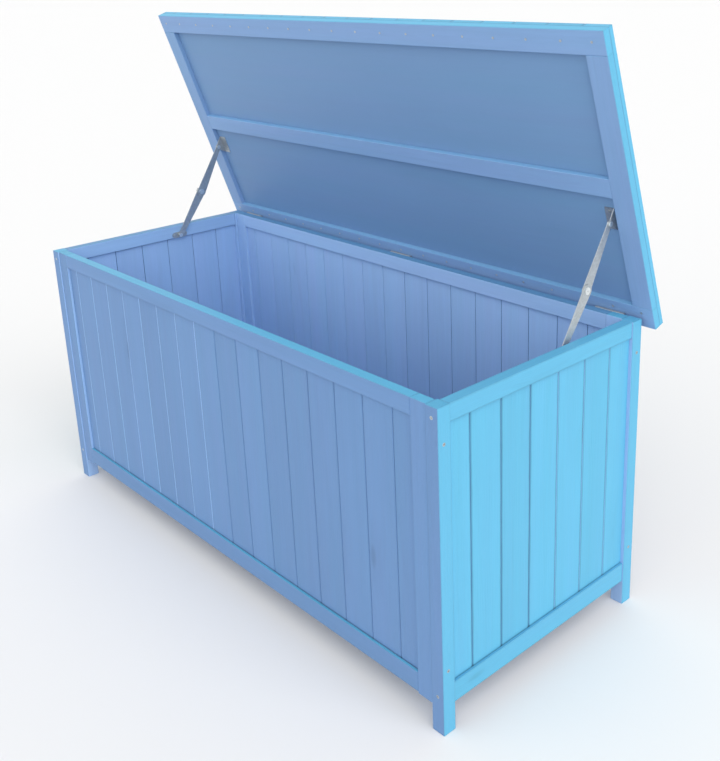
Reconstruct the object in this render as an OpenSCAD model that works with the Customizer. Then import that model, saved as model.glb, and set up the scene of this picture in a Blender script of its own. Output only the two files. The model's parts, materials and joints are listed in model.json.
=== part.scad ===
// Deck storage box: a framed and boarded wooden chest on four posts. Its lid turns on
// three butt hinges and is held open by two folding steel stays.
// Z is up, the front faces -Y, and the origin is on the ground under the middle of the box.
// The lid is drawn open.

/* [Box] */
// Length over the corner posts
body_length = 1240; // [900:10:1600]
// Depth over the corner posts
body_depth = 504; // [430:2:700]
// Height from the ground to the top of the posts
body_height = 568; // [420:2:760]
// Side of a square corner post
post_size = 26; // [24:1:40]
// Height of the bottom rails above the ground
foot_height = 50; // [20:1:90]

/* [Frames] */
// Thickness of the rails and stiles
rail_thickness = 20; // [18:1:22]
// Height of the top rails
top_rail_height = 30; // [28:1:60]
// Height of the bottom rails
bottom_rail_height = 38; // [30:1:60]
// Width of the stiles of the front and the back
stile_width = 34; // [24:1:60]
// How far the stiles run below the bottom rails
stile_drop = 3; // [0:1:6]
// Step from the faces of the posts back to the faces of the frames
frame_setback = 2; // [0:0.5:2]

/* [Boards] */
// Distance from one board joint to the next
board_pitch = 69.5; // [50:0.5:120]
// Thickness of the side boards
board_thickness = 9; // [8:0.5:10]
// Step from the face of a frame back to its boards
board_recess = 5; // [3:0.5:6]
// Open joint between two boards
joint_gap = 1; // [0.6:0.1:2]
// Depth of the grooves that hold the boards
groove_depth = 7; // [5:0.5:9]
// Distance from a stile to the first board joint of the front
front_first_joint = 44; // [20:1:60]
// Distance from a post to the first board joint of an end
end_first_joint = 48; // [20:1:60]

/* [Floor] */
// Thickness of the floor boards
floor_thickness = 10; // [8:1:14]
// Gap between two floor boards
floor_gap = 4; // [2:1:10]
// Side of the square cleats under the floor
cleat_size = 18; // [14:1:22]

/* [Lid] */
// How far the lid overhangs each end
lid_end_overhang = 20; // [10:1:40]
// How far the lid overhangs the front
lid_front_overhang = 24; // [10:1:40]
// How far the lid overhangs the back
lid_back_overhang = 21; // [19:1:26]
// Width of the rails and stiles of the lid
lid_frame_width = 41; // [36:1:60]
// Thickness of the rails and stiles of the lid
lid_frame_thickness = 14; // [12:1:20]
// Width of the batten along the middle of the lid
lid_batten_width = 36; // [26:1:60]
// Thickness of the sheet under the lid boards
lid_liner_thickness = 4; // [3:0.5:6]
// Thickness of the lid boards
lid_board_thickness = 10; // [8:0.5:14]
// Gap between the closed lid and the top of the box
lid_gap = 1; // [0.5:0.5:3]
// Angle that the lid is drawn open
lid_open_angle = 71; // [40:1:80]

/* [Hinges] */
// Length of a hinge
hinge_length = 60; // [45:1:90]
// Width of a leaf from the pin to its edge
leaf_reach = 15; // [14:0.5:18]
// Thickness of a leaf
leaf_thickness = 2; // [1.5:0.1:2.2]
// Outer diameter of a knuckle
knuckle_diameter = 9; // [8:0.5:10]
// Diameter of a hinge pin
pin_diameter = 4; // [4:0.5:5]
// Distance from an end of the box to the middle of the nearest hinge
hinge_inset = 70; // [70:5:200]

/* [Stays] */
// Gap between the batten of the lid and the upper brackets
stay_gap = 24.5; // [5:0.5:40]
// Length of the plate of an upper bracket
upper_plate_length = 42; // [36:1:60]
// Depth of the lower pivot below the top of the box
lower_pivot_drop = 23; // [18:1:23]
// Depth of the upper pivot below the underside of the lid
upper_pivot_drop = 7; // [4:0.5:9]
// How far the elbow of an open stay is past its straight line
elbow_offset = 5; // [2:0.5:8]
// Thickness of the flat arms
arm_thickness = 1.5; // [1.2:0.1:2]
// Width of an arm at the elbow
elbow_width = 23; // [14:1:24]
// Width of an arm at its outer end
arm_end_width = 12; // [10:1:14]
// Diameter of the rivets
rivet_diameter = 5; // [4:0.5:5]

/* [Hidden] */
$fn = 40;
fastener_fn = 16;

post_color = [0.45, 0.76, 0.92];
frame_color = [0.46, 0.68, 0.88];
board_color = [0.45, 0.64, 0.84];
lid_color = [0.42, 0.58, 0.76];
steel_color = [0.66, 0.68, 0.70];

cut = 1; // how far a cutter runs past the face that it opens
tongue_depth = 3;
tongue_thickness = board_thickness / 3;
tongue_play = 0.3;
board_chamfer = 0.8;
narrowest_board = 8; // least width that is left for the last board of a row
running_play = 0.06; // radial play of a pin or rivet in its bore
face_gap = 0.3; // gap between flat pieces that turn past each other

half_length = body_length / 2;
half_depth = body_depth / 2;
frame_inset = frame_setback + rail_thickness; // from a post face to the inside of a frame
rail_top_z = body_height - top_rail_height; // underside of the top rails
rail_bottom_z = foot_height + bottom_rail_height; // upper side of the bottom rails
board_low = rail_bottom_z - groove_depth;
board_high = rail_top_z + groove_depth;
front_half_span = half_length - post_size - stile_width;
end_half_span = half_depth - post_size;

lid_half_length = half_length + lid_end_overhang;
lid_front_y = -half_depth - lid_front_overhang;
lid_back_y = half_depth + lid_back_overhang;
lid_low = body_height + lid_gap;
lid_mid = lid_low + lid_frame_thickness; // top of the lid frame, underside of the lid boards
liner_low = lid_mid - lid_liner_thickness;
batten_y = (lid_front_y + lid_back_y) / 2;

knuckle_gap = 0.4; // from a knuckle to the wood and to the other leaf
knuckle_radius = knuckle_diameter / 2;
leaf_edge = knuckle_radius + knuckle_gap; // from the pin to the wood and to a leaf's plate
hinge_face_y = half_depth - frame_setback; // back face of the back top rail
pin_y = hinge_face_y + leaf_edge;
pin_z = lid_low - leaf_edge;
hinge_x = [-half_length + hinge_inset, 0, half_length - hinge_inset];
leaf_hole_inset = 9; // from the ends of a leaf to its outer screws
leaf_hole_x = hinge_length / 2 - leaf_hole_inset;
pin_head_inset = 1; // from the rim of a knuckle to the rim of a pin's head
pin_head_radius = knuckle_radius - pin_head_inset;
pin_head_height = 1;
leaf_hole_reach = (leaf_reach + leaf_edge) / 2;

screw_diameter = 3.5;
screw_head_diameter = 6;
screw_head_height = 1.4;
slot_length = 3.2;
slot_width = 0.7;
slot_depth = 0.7;
nail_diameter = 1.8;
nail_head_diameter = 4.4;
nail_head_height = 0.6;
front_nail_inset = 19; // from the front edge of the lid
back_nail_inset = 6; // from the back of the top rail forward, clear of the knuckles
nail_cover = 3; // wood left over the point of a nail

// Lengths of the screws, and where they stand on the posts
post_screw_length = 45;
hinge_screw_length = 12;
lid_stay_screw_length = 9;
front_screw_offset = 3; // below the middle of the top rail
front_screw_drop = top_rail_height / 2 + front_screw_offset;
side_screw_drop = 60;
low_screw_height = foot_height + bottom_rail_height / 2;
side_low_screw_rise = 30; // above the bottom rail
side_low_screw_height = rail_bottom_z + side_low_screw_rise;

// Stay geometry in the Y-Z plane, as [y, z]
pin = [pin_y, pin_z];
stay_y = batten_y + lid_batten_width / 2 + stay_gap + upper_plate_length / 2;
lower_pivot = [stay_y, body_height - lower_pivot_drop];
upper_pivot_closed = [stay_y, lid_low - upper_pivot_drop];
upper_pivot = turned_point(upper_pivot_closed);
stay_line = upper_pivot - lower_pivot;
stay_span = norm(stay_line);
arm_length = sqrt(pow(stay_span / 2, 2) + pow(elbow_offset, 2));
elbow = (lower_pivot + upper_pivot) / 2
    + elbow_offset / stay_span * [stay_line[1], -stay_line[0]];

bracket_thickness = 1.5;
// The screws of the lower brackets stop short of the end boards
box_stay_screw_length = bracket_thickness + rail_thickness - board_recess - board_thickness
    - 2 * face_gap;
stay_inset = 6; // from the inside of an end rail to the outer face of the lower arm
outer_arm_x = half_length - frame_inset - stay_inset - arm_thickness;
arm_face_x = outer_arm_x + arm_thickness; // outer face of the lower arm
inner_arm_x = outer_arm_x - face_gap - arm_thickness;
arm_side_inset = 0.2;
rivet_head_rim = 2; // from the shank of a rivet to the rim of its head
rivet_head_radius = rivet_diameter / 2 + rivet_head_rim;
rivet_head_height = 1.3;
elbow_head_radius = elbow_width * 0.28; // clear of the stop lug
elbow_bore = rivet_diameter / 2; // diameter of the hollow in an elbow rivet
bracket_length = 40;
bracket_height = 14;
bracket_hole = 13;
flange_radius = 6.5;
upper_plate_width = 20;
lug_length = 9;
lug_height = 3;

function turned_point(p) = let (d = p - pin) [
    pin[0] + d[0] * cos(lid_open_angle) + d[1] * sin(lid_open_angle),
    pin[1] - d[0] * sin(lid_open_angle) + d[1] * cos(lid_open_angle)
];

// Joints at one pitch from a first joint, as far as the last whole joint in the span
function joints(half_span, first) =
    [for (x = half_span - first; x > narrowest_board - half_span; x = x - board_pitch) x];

// Joints of the lid boards, with one board over the middle
function lid_joints(half_span) = let (
    last = floor((half_span - narrowest_board) / board_pitch - 0.5)
) [
    for (i = [last : -1 : 0]) (i + 0.5) * board_pitch,
    for (i = [0 : last]) -(i + 0.5) * board_pitch
];

lid_joint_list = lid_joints(lid_half_length);
lid_edges = concat([lid_half_length], lid_joint_list, [-lid_half_length]);
lid_nail_x = [for (i = [0 : len(lid_edges) - 2]) (lid_edges[i] + lid_edges[i + 1]) / 2];
lid_nail_rows = [lid_front_y + front_nail_inset, hinge_face_y - back_nail_inset];

// ---- Shared shapes ----

// Puts the children, which are drawn for the closed lid, on the open lid
module on_lid() {
    translate([0, pin_y, pin_z])
        rotate([-lid_open_angle, 0, 0])
            translate([0, -pin_y, -pin_z])
                children();
}

// Copies of what is drawn at the front for the back, and of what is drawn right for the left
module to_back() {
    mirror([0, 1, 0]) children();
}

module to_left() {
    mirror([1, 0, 0]) children();
}

// A plate parallel to the ends of the box, from a shape in Y and Z
module end_plate(x, thickness) {
    translate([x, 0, 0])
        rotate([90, 0, 90])
            linear_extrude(height = thickness)
                children();
}

// A round pin along X from x_low to x_high, at [y, z]
module cross_pin(at, x_low, x_high, radius) {
    translate([x_low, at[0], at[1]])
        rotate([0, 90, 0])
            cylinder(h = x_high - x_low, r = radius);
}

// Section of one board in the plane of its width and thickness
module board_section(low, high, thickness, grooved, tongued) {
    c = board_chamfer;
    lo = low + (grooved ? joint_gap / 2 : 0);
    hi = high - (tongued ? joint_gap / 2 : 0);
    middle = (thickness - tongue_thickness) / 2;
    difference() {
        union() {
            polygon([
                [lo + c, 0], [hi - c, 0], [hi, c], [hi, thickness - c],
                [hi - c, thickness], [lo + c, thickness], [lo, thickness - c], [lo, c]
            ]);
            if (tongued)
                translate([hi - cut, middle])
                    square([cut + joint_gap + tongue_depth, tongue_thickness]);
        }
        if (grooved)
            translate([lo - cut, middle - tongue_play])
                square([cut + tongue_depth + tongue_play, tongue_thickness + 2 * tongue_play]);
    }
}

// A row of tongued and grooved boards along X. Their thickness runs from y = 0 to +Y.
module board_row(half_span, joint_list, thickness, length) {
    edges = concat([half_span], joint_list, [-half_span]);
    last = len(edges) - 2;
    for (i = [0 : last])
        linear_extrude(height = length)
            board_section(edges[i + 1], edges[i], thickness, i < last, i > 0);
}

// A wood screw that points to -Z from the face at z = 0. Its head stands on the face or is sunk.
module screw(length, sunk = true) {
    head_top = sunk ? 0 : screw_head_height;
    difference() {
        union() {
            translate([0, 0, head_top - screw_head_height])
                cylinder(h = screw_head_height, d = screw_head_diameter, $fn = fastener_fn);
            translate([0, 0, -length])
                cylinder(h = length, d = screw_diameter, $fn = fastener_fn);
        }
        for (turn = [0, 90])
            rotate([0, 0, turn])
                translate([-slot_length / 2, -slot_width / 2, head_top - slot_depth])
                    cube([slot_length, slot_width, slot_depth + cut]);
    }
}

// The hole for a screw, with play all round
module screw_hole(length, sunk = true) {
    translate([0, 0, -length - face_gap])
        cylinder(h = length + face_gap + cut, d = screw_diameter + 2 * running_play,
            $fn = fastener_fn);
    if (sunk)
        translate([0, 0, -screw_head_height])
            cylinder(h = screw_head_height + cut, d = screw_head_diameter + 2 * running_play,
                $fn = fastener_fn);
}

// ---- Posts and their screws ----

// Places of the screws on the post at +X and -Y: through its front face and its end face
module at_post_screws() {
    for (z = [body_height - front_screw_drop, low_screw_height])
        translate([half_length - post_size / 2, -half_depth, z])
            rotate([90, 0, 0]) children();
    for (z = [body_height - side_screw_drop, side_low_screw_height])
        translate([half_length, -half_depth + frame_setback + rail_thickness / 2, z])
            rotate([0, 90, 0]) children();
}

module at_all_posts() {
    for (flip_x = [0, 1], flip_y = [0, 1])
        mirror([flip_x, 0, 0]) mirror([0, flip_y, 0]) children();
}

module post(flip_x, flip_y) {
    color(post_color)
        mirror([flip_x, 0, 0]) mirror([0, flip_y, 0])
            difference() {
                translate([half_length - post_size, -half_depth, 0])
                    cube([post_size, post_size, body_height]);
                translate([
                    half_length - frame_setback - board_recess - board_thickness,
                    -end_half_span - groove_depth,
                    board_low
                ])
                    cube([board_thickness, groove_depth + cut, board_high - board_low]);
                at_post_screws() screw_hole(post_screw_length);
            }
}

module post_screws() {
    color(steel_color)
        at_all_posts() at_post_screws() screw(post_screw_length);
}

// ---- Front and back frames, drawn at the front ----

frame_face_y = -half_depth + frame_setback;
board_face_y = frame_face_y + board_recess;

module long_rail(low, height, groove_low) {
    difference() {
        translate([-front_half_span, frame_face_y, low])
            cube([2 * front_half_span, rail_thickness, height]);
        translate([-front_half_span - cut, board_face_y, groove_low])
            cube([2 * (front_half_span + cut), board_thickness, groove_depth + cut]);
    }
}

module long_top_rail() {
    long_rail(rail_top_z, top_rail_height, rail_top_z - cut);
}

module long_bottom_rail() {
    long_rail(foot_height, bottom_rail_height, board_low);
}

module right_stile() {
    difference() {
        translate([front_half_span, frame_face_y, foot_height - stile_drop])
            cube([stile_width, rail_thickness, body_height - foot_height + stile_drop]);
        translate([front_half_span - cut, board_face_y, board_low])
            cube([groove_depth + cut, board_thickness, board_high - board_low]);
        at_post_screws() screw_hole(post_screw_length);
    }
}

module long_boards() {
    translate([0, board_face_y, board_low])
        board_row(front_half_span + groove_depth,
            joints(front_half_span, front_first_joint),
            board_thickness, board_high - board_low);
}

module front_top_rail() { color(frame_color) long_top_rail(); }
module front_bottom_rail() { color(frame_color) long_bottom_rail(); }
module front_stile_left() { color(frame_color) to_left() right_stile(); }
module front_stile_right() { color(frame_color) right_stile(); }
module front_boards() { color(board_color) long_boards(); }

module back_top_rail() {
    color(frame_color)
        difference() {
            to_back() long_top_rail();
            at_hinge_screws_box() screw_hole(hinge_screw_length, false);
        }
}

module back_bottom_rail() { color(frame_color) to_back() long_bottom_rail(); }

// The outer hinges reach over the stiles, so the stiles are drilled for their screws too
module back_right_stile() {
    difference() {
        to_back() right_stile();
        at_hinge_screws_box() screw_hole(hinge_screw_length, false);
    }
}

module back_stile_left() { color(frame_color) to_left() back_right_stile(); }
module back_stile_right() { color(frame_color) back_right_stile(); }
module back_boards() { color(board_color) to_back() long_boards(); }

// ---- End frames, drawn at the right ----

end_face_x = half_length - frame_setback;
end_board_x = end_face_x - board_recess;

module end_rail(low, height, groove_low) {
    difference() {
        translate([end_face_x - rail_thickness, -end_half_span, low])
            cube([rail_thickness, 2 * end_half_span, height]);
        translate([end_board_x - board_thickness, -end_half_span - cut, groove_low])
            cube([board_thickness, 2 * (end_half_span + cut), groove_depth + cut]);
        at_end_rail_screws() screw_hole(post_screw_length);
    }
}

// The screws that come through the posts into both ends of an end rail
module at_end_rail_screws() {
    for (flip_y = [0, 1])
        mirror([0, flip_y, 0]) at_post_screws() children();
}

module end_top_rail() {
    difference() {
        end_rail(rail_top_z, top_rail_height, rail_top_z - cut);
        at_lower_bracket_screws() screw_hole(box_stay_screw_length, false);
    }
}

module end_bottom_rail() {
    end_rail(foot_height, bottom_rail_height, board_low);
}

module end_boards() {
    translate([end_board_x, 0, board_low])
        rotate([0, 0, 90])
            mirror([1, 0, 0])
                board_row(end_half_span + groove_depth,
                    joints(end_half_span, end_first_joint),
                    board_thickness, board_high - board_low);
}

module right_top_rail() { color(frame_color) end_top_rail(); }
module right_bottom_rail() { color(frame_color) end_bottom_rail(); }
module right_boards() { color(board_color) end_boards(); }
module left_top_rail() { color(frame_color) to_left() end_top_rail(); }
module left_bottom_rail() { color(frame_color) to_left() end_bottom_rail(); }
module left_boards() { color(board_color) to_left() end_boards(); }

// ---- Floor ----

floor_half_length = half_length - max(post_size, frame_inset);
floor_drop = 4; // from the top of the bottom rails down to the top of the floor
floor_end_gap = 1; // from the ends of the floor boards to the frames
cleat_low = rail_bottom_z - floor_drop - floor_thickness - cleat_size;
floor_low = cleat_low + cleat_size;

module cleat(y_low, half_span) {
    translate([-half_span, y_low, cleat_low])
        cube([2 * half_span, cleat_size, cleat_size]);
}

module floor_cleat_front() {
    color(board_color) cleat(-half_depth + frame_inset, floor_half_length);
}

module floor_cleat_back() {
    color(board_color) to_back() cleat(-half_depth + frame_inset, floor_half_length);
}

module floor_bearer() {
    color(board_color) cleat(-cleat_size / 2, half_length - frame_inset);
}

module floor_boards() {
    count = floor(2 * floor_half_length / board_pitch);
    reach = half_depth - frame_inset - floor_end_gap;
    color(board_color)
        for (i = [0 : count - 1])
            translate([(i - count / 2) * board_pitch + floor_gap / 2, -reach, floor_low])
                cube([board_pitch - floor_gap, 2 * reach, floor_thickness]);
}

// ---- Lid, drawn closed inside on_lid() ----

module at_lid_nails() {
    for (x = lid_nail_x, y = lid_nail_rows)
        translate([x, y, lid_low]) children();
}

nail_length = lid_frame_thickness + lid_board_thickness - nail_cover;

module nail() {
    translate([0, 0, -nail_head_height])
        cylinder(h = nail_head_height, d = nail_head_diameter, $fn = fastener_fn);
    cylinder(h = nail_length, d = nail_diameter, $fn = fastener_fn);
}

module nail_hole() {
    translate([0, 0, -cut])
        cylinder(h = nail_length + cut, d = nail_diameter + 2 * running_play,
            $fn = fastener_fn);
}

module lid_long_rail(y_low) {
    translate([-lid_half_length, y_low, lid_low])
        cube([2 * lid_half_length, lid_frame_width, lid_frame_thickness]);
}

module lid_front_rail() {
    color(lid_color)
        on_lid()
            difference() {
                lid_long_rail(lid_front_y);
                at_lid_nails() nail_hole();
            }
}

module lid_back_rail() {
    color(lid_color)
        on_lid()
            difference() {
                lid_long_rail(lid_back_y - lid_frame_width);
                at_lid_nails() nail_hole();
                at_hinge_screws_lid() screw_hole(hinge_screw_length, false);
            }
}

module lid_right_stile() {
    translate([lid_half_length - lid_frame_width, lid_front_y + lid_frame_width, lid_low])
        cube([
            lid_frame_width,
            lid_back_y - lid_front_y - 2 * lid_frame_width,
            lid_frame_thickness
        ]);
}

module lid_stile_left() { color(lid_color) on_lid() to_left() lid_right_stile(); }
module lid_stile_right() { color(lid_color) on_lid() lid_right_stile(); }

module lid_batten() {
    half_span = lid_half_length - lid_frame_width;
    color(lid_color)
        on_lid()
            translate([-half_span, batten_y - lid_batten_width / 2, lid_low])
                cube([2 * half_span, lid_batten_width, liner_low - lid_low]);
}

module lid_liner() {
    half_span = lid_half_length - lid_frame_width;
    color(lid_color)
        on_lid()
            difference() {
                translate([-half_span, lid_front_y + lid_frame_width, liner_low])
                    cube([
                        2 * half_span,
                        lid_back_y - lid_front_y - 2 * lid_frame_width,
                        lid_liner_thickness
                    ]);
                at_lid_bracket_screws() screw_hole(lid_stay_screw_length, false);
            }
}

module lid_boards() {
    color(frame_color)
        on_lid()
            difference() {
                translate([0, lid_back_y, lid_mid])
                    rotate([90, 0, 0])
                        board_row(lid_half_length, lid_joint_list, lid_board_thickness,
                            lid_back_y - lid_front_y);
                at_lid_nails() nail_hole();
                at_lid_bracket_screws() screw_hole(lid_stay_screw_length, false);
            }
}

module lid_nails() {
    color(steel_color)
        on_lid() at_lid_nails() nail();
}

// ---- Hinges ----

knuckle_length = hinge_length / 3;

module knuckle(low, high) {
    translate([low, 0, 0])
        rotate([90, 0, 90])
            linear_extrude(height = high - low)
                difference() {
                    union() {
                        circle(r = knuckle_radius);
                        translate([0, leaf_edge - leaf_thickness])
                            square([leaf_edge + cut, leaf_thickness]);
                    }
                    circle(d = pin_diameter + 2 * running_play);
                }
}

// A leaf along X, centred on the pin, with its plate on the +Y side and at the top.
// It carries the middle knuckle or the two outer ones.
module leaf(middle) {
    half = knuckle_length / 2;
    difference() {
        union() {
            translate([-hinge_length / 2, leaf_edge, leaf_edge - leaf_thickness])
                cube([hinge_length, leaf_reach - leaf_edge, leaf_thickness]);
            if (middle)
                knuckle(-half + face_gap, half - face_gap);
            else {
                knuckle(-hinge_length / 2, -half);
                knuckle(half, hinge_length / 2);
            }
        }
        at_leaf_screws() screw_hole(leaf_thickness);
    }
}

// Places of the screws on a leaf, pointing into the wood
module at_leaf_screws() {
    for (x = [-leaf_hole_x, 0, leaf_hole_x])
        translate([x, leaf_hole_reach, leaf_edge - leaf_thickness])
            rotate([180, 0, 0]) children();
}

// The lid leaf lies under the closed lid, and the box leaf on the back of the top rail
module lid_leaf_place(x) {
    translate([x, pin_y, pin_z]) children();
}

module box_leaf_place(x) {
    translate([x, pin_y, pin_z])
        rotate([-90, 0, 0])
            mirror([0, 0, 1])
                children();
}

module at_hinge_screws_lid() {
    for (x = hinge_x) lid_leaf_place(x) at_leaf_screws() children();
}

module at_hinge_screws_box() {
    for (x = hinge_x) box_leaf_place(x) at_leaf_screws() children();
}

module hinge_leaf_box(i) {
    color(steel_color) box_leaf_place(hinge_x[i]) leaf(false);
}

module hinge_leaf_lid(i) {
    color(steel_color) on_lid() lid_leaf_place(hinge_x[i]) leaf(true);
}

module hinge_pins() {
    half = hinge_length / 2;
    color(steel_color)
        for (x = hinge_x) {
            cross_pin(pin, x - half, x + half, pin_diameter / 2);
            cross_pin(pin, x - half - pin_head_height, x - half, pin_head_radius);
            cross_pin(pin, x + half, x + half + pin_head_height, pin_head_radius);
        }
}

module hinge_screws_box() {
    color(steel_color) at_hinge_screws_box() screw(hinge_screw_length);
}

module hinge_screws_lid() {
    color(steel_color) on_lid() at_hinge_screws_lid() screw(hinge_screw_length);
}

// ---- Stays, drawn at the right ----

// A tapered arm in the X-Y plane, from its outer pivot at the origin to its elbow at
// [arm_length, 0]. Its sides run a little inside the tangents, so that they cut the rounds cleanly.
module flat_arm() {
    r_end = arm_end_width / 2;
    r_elbow = elbow_width / 2;
    lean = acos((r_end - r_elbow) / arm_length);
    side = [cos(lean), sin(lean)];
    near = (r_end - arm_side_inset) * side;
    far = [arm_length, 0] + (r_elbow - arm_side_inset) * side;
    difference() {
        union() {
            cylinder(h = arm_thickness, r = r_end);
            translate([arm_length, 0, 0]) cylinder(h = arm_thickness, r = r_elbow);
            linear_extrude(height = arm_thickness)
                polygon([near, far, [far[0], -far[1]], [near[0], -near[1]]]);
        }
        for (x = [0, arm_length])
            translate([x, 0, -cut])
                cylinder(h = arm_thickness + 2 * cut, r = rivet_diameter / 2 + running_play);
    }
}

// An arm whose outer pivot is at from and whose elbow points to the point to
module arm(from, to, x) {
    way = to - from;
    translate([x, from[0], from[1]])
        rotate([90, 0, 90])
            rotate(atan2(way[1], way[0]))
                flat_arm();
}

// The stop lug is bent outwards from the edge of the lower arm, beside the elbow
module stop_lug() {
    way = elbow - lower_pivot;
    end_plate(outer_arm_x, arm_thickness + lug_height)
        translate(lower_pivot)
            rotate(atan2(way[1], way[0]))
                translate([arm_length - lug_length / 2, elbow_width / 2 - arm_thickness])
                    square([lug_length, arm_thickness]);
}

module lower_arm() {
    color(steel_color) {
        arm(lower_pivot, elbow, outer_arm_x);
        stop_lug();
    }
}

module upper_arm() {
    color(steel_color) arm(upper_pivot, elbow, inner_arm_x);
}

// A hollow rivet along X, with its shank from x_low to x_high and its head that starts at x_head
module hollow_rivet(x_low, x_high, x_head) {
    difference() {
        union() {
            cross_pin(elbow, x_low, x_high, rivet_diameter / 2);
            cross_pin(elbow, x_head, x_head + rivet_head_height, elbow_head_radius);
        }
        cross_pin(elbow, min(x_low, x_head) - cut, max(x_high, x_head + rivet_head_height) + cut,
            elbow_bore / 2);
    }
}

// The elbow rivet is parted between the arms: its head turns with the lower one and its tail
// with the upper one.
module elbow_head() {
    color(steel_color) hollow_rivet(outer_arm_x, arm_face_x, arm_face_x);
}

module elbow_tail() {
    color(steel_color)
        hollow_rivet(inner_arm_x, inner_arm_x + arm_thickness, inner_arm_x - rivet_head_height);
}

rail_inner_x = half_length - frame_inset;

module at_lower_bracket_screws() {
    for (side = [-1, 1])
        translate([
            rail_inner_x - bracket_thickness,
            lower_pivot[0] + side * bracket_hole,
            lower_pivot[1]
        ])
            rotate([0, -90, 0]) children();
}

// A plate on the inside of the end rail, with a boss that holds the rivet of the lower arm
module lower_bracket() {
    plate_x = rail_inner_x - bracket_thickness;
    boss_x = arm_face_x + face_gap;
    end_round = bracket_height / 2;
    color(steel_color)
        difference() {
            union() {
                end_plate(plate_x, bracket_thickness)
                    translate(lower_pivot) {
                        for (side = [-1, 1])
                            translate([side * (bracket_length / 2 - end_round), 0])
                                circle(r = end_round);
                        square([bracket_length - bracket_height, bracket_height], center = true);
                    }
                cross_pin(lower_pivot, boss_x, plate_x, rivet_head_radius);
            }
            cross_pin(lower_pivot, boss_x - cut, rail_inner_x + cut,
                rivet_diameter / 2 + running_play);
            at_lower_bracket_screws() screw_hole(bracket_thickness, false);
        }
}

module lower_rivet() {
    head_x = outer_arm_x - face_gap;
    cross_pin(lower_pivot, head_x, rail_inner_x, rivet_diameter / 2);
    cross_pin(lower_pivot, head_x - rivet_head_height, head_x, rivet_head_radius);
}

// Places on the closed lid, below the liner
module at_upper_bracket_screws() {
    for (side = [-1, 1])
        translate([
            arm_face_x - upper_plate_width / 2 - arm_thickness,
            upper_pivot_closed[0] + side * bracket_hole,
            liner_low - bracket_thickness
        ])
            rotate([180, 0, 0]) children();
}

module at_lid_bracket_screws() {
    at_upper_bracket_screws() children();
    to_left() at_upper_bracket_screws() children();
}

// An angle: a plate under the liner, and a flange that comes down to the upper pivot
module upper_bracket() {
    y = upper_pivot_closed[0];
    z = upper_pivot_closed[1];
    half = upper_plate_length / 2;
    color(steel_color)
        on_lid()
            difference() {
                union() {
                    translate([
                        arm_face_x - upper_plate_width,
                        y - half,
                        liner_low - bracket_thickness
                    ])
                        cube([upper_plate_width, upper_plate_length, bracket_thickness]);
                    end_plate(outer_arm_x, arm_thickness) {
                        translate([y, z]) circle(r = flange_radius);
                        polygon([
                            [y - flange_radius, z], [y + flange_radius, z],
                            [y + half, liner_low - bracket_thickness], [y + half, liner_low],
                            [y - half, liner_low], [y - half, liner_low - bracket_thickness]
                        ]);
                    }
                }
                cross_pin([y, z], outer_arm_x - cut, arm_face_x + cut,
                    rivet_diameter / 2 + running_play);
                at_upper_bracket_screws() screw_hole(bracket_thickness, false);
            }
}

module upper_rivet() {
    inner = inner_arm_x - face_gap;
    cross_pin(upper_pivot_closed, inner, arm_face_x, rivet_diameter / 2);
    cross_pin(upper_pivot_closed, inner - rivet_head_height, inner, rivet_head_radius);
    cross_pin(upper_pivot_closed, arm_face_x, arm_face_x + rivet_head_height, rivet_head_radius);
}

module stay_lower_rivets() {
    color(steel_color) {
        lower_rivet();
        to_left() lower_rivet();
    }
}

module stay_upper_rivets() {
    color(steel_color)
        on_lid() {
            upper_rivet();
            to_left() upper_rivet();
        }
}

module stay_screws_box() {
    color(steel_color)
        for (flip_x = [0, 1])
            mirror([flip_x, 0, 0])
                at_lower_bracket_screws() screw(box_stay_screw_length, false);
}

module stay_screws_lid() {
    color(steel_color)
        on_lid() at_lid_bracket_screws() screw(lid_stay_screw_length, false);
}

// ---- All nodes ----

post(1, 0);  // post_front_left
post(0, 0);  // post_front_right
post(1, 1);  // post_back_left
post(0, 1);  // post_back_right
front_top_rail();
front_bottom_rail();
front_stile_left();
front_stile_right();
back_top_rail();
back_bottom_rail();
back_stile_left();
back_stile_right();
left_top_rail();
left_bottom_rail();
right_top_rail();
right_bottom_rail();
front_boards();
back_boards();
left_boards();
right_boards();
floor_boards();
floor_cleat_front();
floor_cleat_back();
floor_bearer();
post_screws();
hinge_leaf_box(0);  // hinge_leaf_box_left
hinge_leaf_box(1);  // hinge_leaf_box_middle
hinge_leaf_box(2);  // hinge_leaf_box_right
hinge_leaf_lid(0);  // hinge_leaf_lid_left
hinge_leaf_lid(1);  // hinge_leaf_lid_middle
hinge_leaf_lid(2);  // hinge_leaf_lid_right
hinge_pins();
hinge_screws_box();
hinge_screws_lid();
lid_front_rail();
lid_back_rail();
lid_stile_left();
lid_stile_right();
lid_batten();
lid_liner();
lid_boards();
lid_nails();
to_left() lower_bracket();  // stay_lower_bracket_left
lower_bracket();  // stay_lower_bracket_right
to_left() upper_bracket();  // stay_upper_bracket_left
upper_bracket();  // stay_upper_bracket_right
to_left() lower_arm();  // stay_lower_arm_left
lower_arm();  // stay_lower_arm_right
to_left() upper_arm();  // stay_upper_arm_left
upper_arm();  // stay_upper_arm_right
stay_lower_rivets();
stay_upper_rivets();
to_left() elbow_head();  // stay_elbow_head_left
elbow_head();  // stay_elbow_head_right
to_left() elbow_tail();  // stay_elbow_tail_left
elbow_tail();  // stay_elbow_tail_right
stay_screws_box();
stay_screws_lid();
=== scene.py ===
"""Stained wooden deck storage box with a hinged lid on folding stays.

Every wooden piece is cut from its part in the frame, gets eased edges and carries its own
grain. The steel pieces stay as the frame has them and get a zinc finish.
"""

import json
import math
import random

import bmesh
import bpy
from bpy.props import (
    FloatProperty,
    FloatVectorProperty,
    IntProperty,
    PointerProperty,
)
from bpy.types import Operator, Panel, PropertyGroup
from mathutils import Matrix, Vector

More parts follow.
